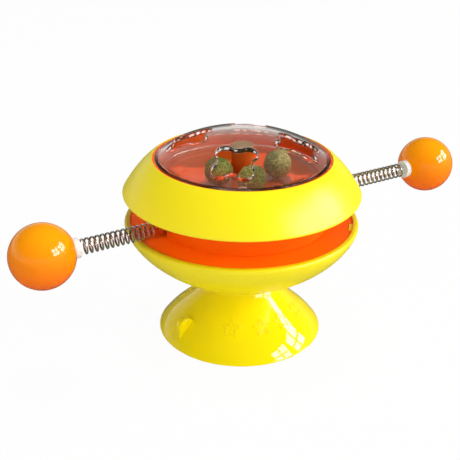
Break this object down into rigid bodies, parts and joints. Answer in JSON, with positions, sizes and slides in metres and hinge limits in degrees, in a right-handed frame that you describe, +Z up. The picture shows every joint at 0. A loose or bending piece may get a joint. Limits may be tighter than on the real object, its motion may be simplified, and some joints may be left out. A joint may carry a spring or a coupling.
{
  "type": "rotating catnip cat toy",
  "caption": "Suction-foot cat toy: a ring with a see-through domed catnip tray turns on a bowl and swings balls on spring arms.",
  "frame": {"origin": "on the turning axis, at the plane of the suction foot's rim", "axes": "+Z up along the turning axis; +X along the longer arm; -X along the shorter arm, at rest"},
  "size_m": [0.2413, 0.11, 0.1005],
  "materials": {
    "foot_plastic": "gloss",
    "yellow_shell": "satin",
    "orange_inside": "satin",
    "orange_ball": "gloss",
    "smoky_clear": "clear, smoky",
    "post_cap": "satin",
    "white_cap": "satin",
    "spring_steel": "bright",
    "anchor_steel": "turned pin",
    "fastener_steel": "zinc plated",
    "bearing_plastic": "acetal",
    "catnip": "pressed dry leaf"
  },
  "bodies": {
    "stand": {"suction_base": "foot_plastic", "base_stem": "bearing_plastic", "stem_screw": "fastener_steel", "lower_bowl": "yellow_shell", "bowl_liner": "orange_inside", "liner_screws": "fastener_steel", "axle": "fastener_steel", "thrust_washer": "bearing_plastic", "retaining_washer": "fastener_steel", "retaining_screw": "fastener_steel"},
    "rotor": {"rotor_drum": "orange_inside", "lower_bush": "bearing_plastic", "upper_bush": "bearing_plastic", "left_spring_anchor": "anchor_steel", "right_spring_anchor": "anchor_steel", "ring_cover": "yellow_shell", "catnip_tray": "orange_inside", "tray_screws": "fastener_steel", "post_cap": "post_cap"},
    "dome": {"dome_window": "smoky_clear"},
    "left_arm": {"left_spring": "spring_steel"},
    "left_end": {"left_ball_cap": "white_cap", "left_ball": "orange_ball"},
    "right_arm": {"right_spring": "spring_steel"},
    "right_end": {"right_ball_cap": "white_cap", "right_ball": "orange_ball"},
    "catnip_1": {"catnip_ball_1": "catnip"},
    "catnip_2": {"catnip_ball_2": "catnip"},
    "catnip_3": {"catnip_ball_3": "catnip"}
  },
  "joints": [
    {"name": "rotor_spin", "type": "hinge", "parent": "stand", "child": "rotor", "pos_m": [0, 0, 0.0583], "axis": [0, 0, 1], "continuous": true},
    {"name": "left_sway", "type": "hinge", "parent": "rotor", "child": "left_arm", "pos_m": [-0.052, 0, 0.0628], "axis": [0, 0, 1], "range_deg": [-35, 35], "stiffness_Nm_per_rad": 0.02, "deforming": ["left_spring"]},
    {"name": "left_bob", "type": "hinge", "parent": "left_arm", "child": "left_end", "pos_m": [-0.07, 0, 0.0628], "axis": [0, 1, 0], "range_deg": [-35, 35], "stiffness_Nm_per_rad": 0.02, "springref_deg": 2.86, "deforming": ["left_spring"]},
    {"name": "right_sway", "type": "hinge", "parent": "rotor", "child": "right_arm", "pos_m": [0.056, 0, 0.0628], "axis": [0, 0, 1], "range_deg": [-35, 35], "stiffness_Nm_per_rad": 0.02, "deforming": ["right_spring"]},
    {"name": "right_bob", "type": "hinge", "parent": "right_arm", "child": "right_end", "pos_m": [0.082, 0, 0.0628], "axis": [0, -1, 0], "range_deg": [-35, 35], "stiffness_Nm_per_rad": 0.02, "springref_deg": 2.86, "deforming": ["right_spring"]},
    {"name": "dome_lift", "type": "slide", "parent": "rotor", "child": "dome", "axis": [0, 0, 1], "range_m": [0, 0.06]},
    {"name": "catnip_1_roll", "type": "hinge", "parent": "rotor", "child": "catnip_1", "pos_m": [0, 0, 0.0846], "axis": [0, 0, 1], "range_deg": [-10, 60]},
    {"name": "catnip_2_roll", "type": "hinge", "parent": "rotor", "child": "catnip_2", "pos_m": [0, 0, 0.0846], "axis": [0, 0, 1], "range_deg": [-8, 8]},
    {"name": "catnip_3_roll", "type": "hinge", "parent": "rotor", "child": "catnip_3", "pos_m": [0, 0, 0.0846], "axis": [0, 0, 1], "range_deg": [-60, 8]}
  ]
}
